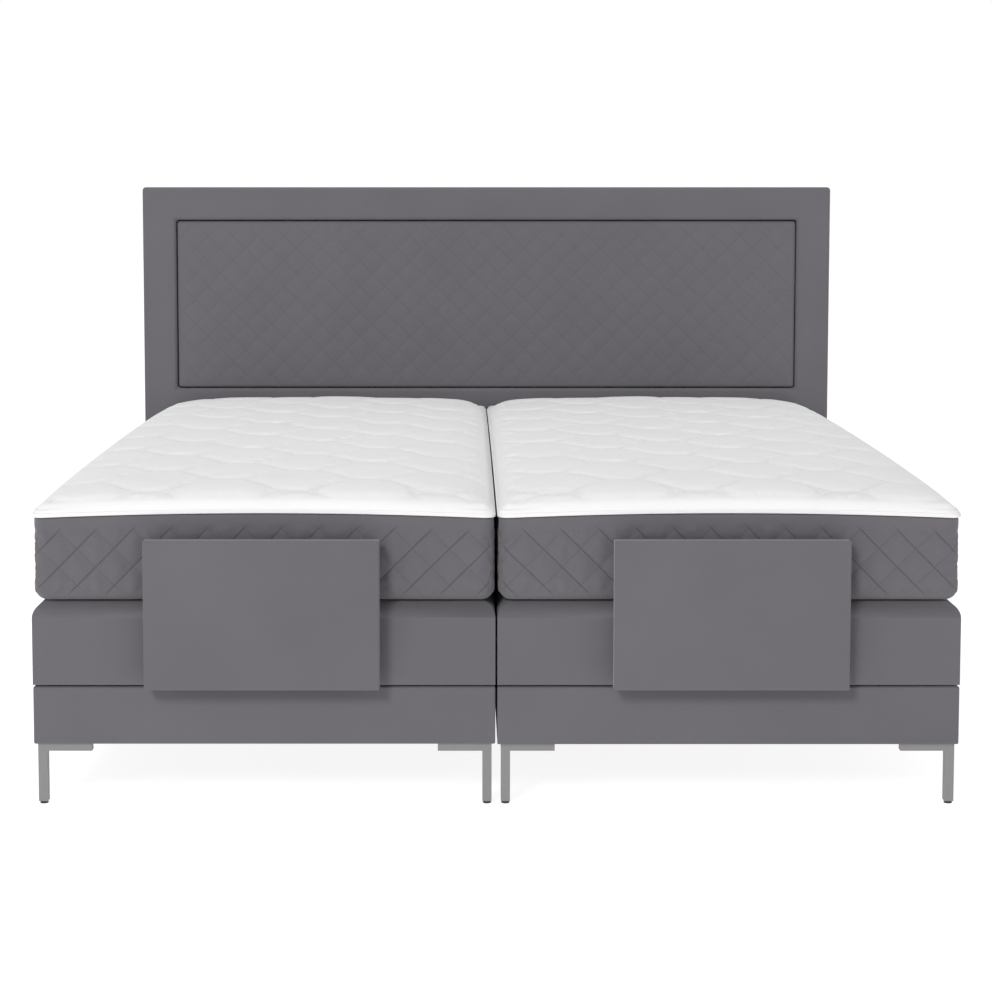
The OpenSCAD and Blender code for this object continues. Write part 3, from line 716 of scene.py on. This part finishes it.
def crown(inset, to_side, to_head, to_foot):
    """How far the white top rises: up from its edges, and less at the head and the corners."""
    edge_rise, edge_run = 20 * MM, 60 * MM
    head_drop, head_run = 5 * MM, 200 * MM
    head_corner_drop, head_corner_run = 11 * MM, 140 * MM
    foot_corner_drop, foot_corner_run = 7 * MM, 110 * MM
    near_side = to_side / (90 * MM)
    rise = edge_rise * (1 - np.exp(-inset / edge_run))
    rise -= head_drop * np.exp(-to_head / head_run)
    rise -= head_corner_drop * np.exp(-near_side - to_head / head_corner_run)
    rise -= foot_corner_drop * np.exp(-near_side - to_foot / foot_corner_run)
    return rise


def pad_shape():
    """The white quilted top, with its soft crown."""
    low, high = mattress_box()
    edge_z, line_gap = SEAM_Z + 23 * MM, LINE_GAP / 2
    slab = Slab((low[0], low[1] - 1 * MM, SEAM_Z), (high[0], high[1], edge_z),
                plan_r=CORNER_R, top_r=20 * MM, bottom_r=3 * MM,
                step=7 * MM, side_step=4 * MM, cuts=CUTS)
    x, y = slab.points[:, :2].T
    top = slab.level > 0
    rise = crown(slab.inset, high[0] - abs(x), high[1] - y, y - low[1])
    a, b = wave_phases(x - low[0], y - low[1])
    deep = np.clip((slab.inset - 12 * MM) / (25 * MM), 0, 1) * top
    field = noise_field(slab.points, 9.0, SEED) * 1.2 * MM
    slab.points[:, 2] += top * rise + deep * (quilt_height(a, b) * 3 * MM - QUILT_SINK + field)
    slab.puff((deep > 0.5) & (off_line(a) > line_gap) & (off_line(b) > line_gap),
              growth=0.03, most=3.5 * MM)
    slab.quilt = np.column_stack([a, b, deep])
    hang(slab, low, high)
    return slab


def tape_shape():
    """The narrow white tape sewn over the seam between border and top."""
    low, high = mattress_box()
    width, proud, proud_at_foot, edge_r = 9 * MM, 1.5 * MM, 3 * MM, 2.5 * MM
    slab = Slab((low[0] - proud, low[1] - proud_at_foot, SEAM_Z),
                (high[0] + proud, high[1] + proud, SEAM_Z + width),
                plan_r=CORNER_R, top_r=edge_r, bottom_r=edge_r,
                step=14 * MM, side_step=2 * MM, cuts=CUTS, edge_parts=4)
    slab.quilt = np.zeros((len(slab.points), 3))
    hang(slab, low, high)
    return slab


def make_mattresses():
    """Both mattresses: each layer is shaped once, then placed, mirrored and parted."""
    layers = (("mattress_border", border_shape(), "mattress_border", "mattress_border"),
              ("mattress_top", pad_shape(), "mattress_quilt", "mattress_quilt"),
              ("mattress_tape", tape_shape(), "tape", "mattress_quilt"))
    for side in SIDES:
        for label, slab, material, slot in layers:
            points, quads = slab.points.copy(), slab.quads
            if side == "right":
                points[:, 0] *= -1
                quads = quads[:, ::-1]
            points[:, 0] += half_centre(side)
            parts = part_along_y(f"{side}_{label}", points, quads, slab.quilt,
                                 MATERIALS[material], CUTS)
            bend_mattress(side, parts, label)
        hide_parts(f"{side}_calf_mattress")
        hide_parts(f"{side}_thigh_mattress", f"{side}_seat_mattress")
        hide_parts(f"{side}_back_mattress")
        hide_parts(f"{side}_mattress_folds")


# ---------------------------------------------------------------- upholstered boards and boxes

def upholster(obj, node_name, body):
    """The cover takes the CAD node's place and rides its body."""
    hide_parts(node_name)
    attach(obj, body)


def covered(node_name, edge, slot, body):
    """Upholstery over a CAD solid: its shape with the long, sharp edges softly rounded."""
    long_edge, sharp = 30 * MM, math.radians(40)
    obj = bpy.data.objects.new(f"{node_name}_cover", nodes[node_name].data.copy())
    bpy.context.scene.collection.objects.link(obj)
    bm = bmesh.new()
    bm.from_mesh(obj.data)
    bmesh.ops.remove_doubles(bm, verts=bm.verts, dist=0.02 * MM)
    bmesh.ops.dissolve_limit(bm, angle_limit=math.radians(1), verts=bm.verts, edges=bm.edges)
    weight = bm.edges.layers.float.new("bevel_weight_edge")
    for line in bm.edges:
        if line.calc_length() > long_edge and line.calc_face_angle(0) > sharp:
            line[weight] = 1.0
    bm.to_mesh(obj.data)
    bm.free()
    bevel = obj.modifiers.new("edges", "BEVEL")
    bevel.width = edge
    bevel.segments = 4
    bevel.limit_method = "WEIGHT"
    bevel.harden_normals = True
    obj.data.polygons.foreach_set("use_smooth", [True] * len(obj.data.polygons))
    graph = bpy.context.evaluated_depsgraph_get()
    made = bpy.data.meshes.new_from_object(obj.evaluated_get(graph))
    obj.modifiers.clear()
    obj.data = made
    made.materials.clear()
    made.materials.append(MATERIALS[slot])
    upholster(obj, node_name, body)


def make_boxes():
    """Covers the skirts and decks of the four sections, and the rails under them."""
    bodies = {"seat_box": "root", "back_box": "back", "thigh_box": "thigh", "calf_box": "calf",
              "plinth_rails": "root"}
    for side in SIDES:
        for kind, body in bodies.items():
            covered(f"{side}_{kind}", 3.5 * MM, "base_fabric",
                    "root" if body == "root" else f"{side}_{body}")


def make_knee_linings():
    """A strip of cover cloth behind each skirt, which closes the notch under the knee."""
    reach, thick, behind, rail, overlap = 100 * MM, 2 * MM, 2.5 * MM, 26 * MM, 5 * MM
    for side in SIDES:
        skirt_low, skirt_high = node_low_high(f"{side}_thigh_box")
        rail_top = node_low_high(f"{side}_thigh_frame")[0][2] + rail
        off_centre = skirt_high[0] - half_centre(side) - SKIRT - behind
        for name, way in (("outer", -1), ("inner", 1)):
            middle = half_centre(side) + way * off_centre
            slab = Slab((KNEE_Y - reach, skirt_low[2] - overlap, middle - thick / 2),
                        (KNEE_Y + reach, rail_top, middle + thick / 2),
                        plan_r=1 * MM, top_r=0.8 * MM, bottom_r=0.8 * MM, step=6 * MM,
                        edge_parts=2)
            turned = slab.points[:, [2, 0, 1]]
            strip = mesh_object(f"{side}_knee_lining_{name}", turned, slab.quads,
                                [MATERIALS["gusset"]])
            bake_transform(strip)


def stood_up(slab):
    """The points of a board shaped lying down, turned so that its upper face looks to -Y."""
    return np.column_stack([slab.points[:, 0], -slab.points[:, 2], slab.points[:, 1]])


def make_foot_panels():
    for side in SIDES:
        name, edge_r = f"{side}_foot_panel", 2.5 * MM
        low, high = node_low_high(name)
        slab = Slab((low[0], low[2], -high[1]), (high[0], high[2], -low[1]),
                    plan_r=edge_r, top_r=edge_r, bottom_r=edge_r, step=12 * MM)
        panel = mesh_object(f"{name}_cover", stood_up(slab), slab.quads,
                            [MATERIALS["upholstery"]])
        upholster(panel, name, f"{side}_calf")


def make_headboard():
    """The plain border and the core behind it, and the quilted panel set into the border."""
    covered("headboard_border", 9 * MM, "upholstery", "root")
    covered("headboard_core", 9 * MM, "upholstery", "root")
    low, high = node_low_high("headboard_panel")
    gap = 1 * MM
    slab = Slab((low[0] + gap, low[2] + gap, -high[1]), (high[0] - gap, high[2] - gap, -low[1]),
                plan_r=8 * MM, top_r=8 * MM, bottom_r=2 * MM, step=7 * MM)
    u, v = slab.points[:, 0], slab.points[:, 1] - slab.low[1]
    a, b = (u - v) / QUILT_PITCH, (u + v) / QUILT_PITCH
    soft = np.clip(slab.inset / (30 * MM), 0, 1) * (slab.level > 0)
    slab.points[:, 2] += soft * quilt_height(a, b) * 0.8 * MM
    slab.puff((soft > 0.5) & (off_line(a) > LINE_GAP) & (off_line(b) > LINE_GAP),
              growth=0.01, most=1.2 * MM)
    panel = mesh_object("headboard_inset", stood_up(slab), slab.quads,
                        [MATERIALS["headboard_quilt"]], np.column_stack([a, b, soft]))
    upholster(panel, "headboard_panel", "root")


# ---------------------------------------------------------------- the whole scene

make_camera()
make_studio()
make_floor()
dress_cad_nodes()
make_mattresses()
make_boxes()
make_knee_linings()
make_foot_panels()
make_headboard()
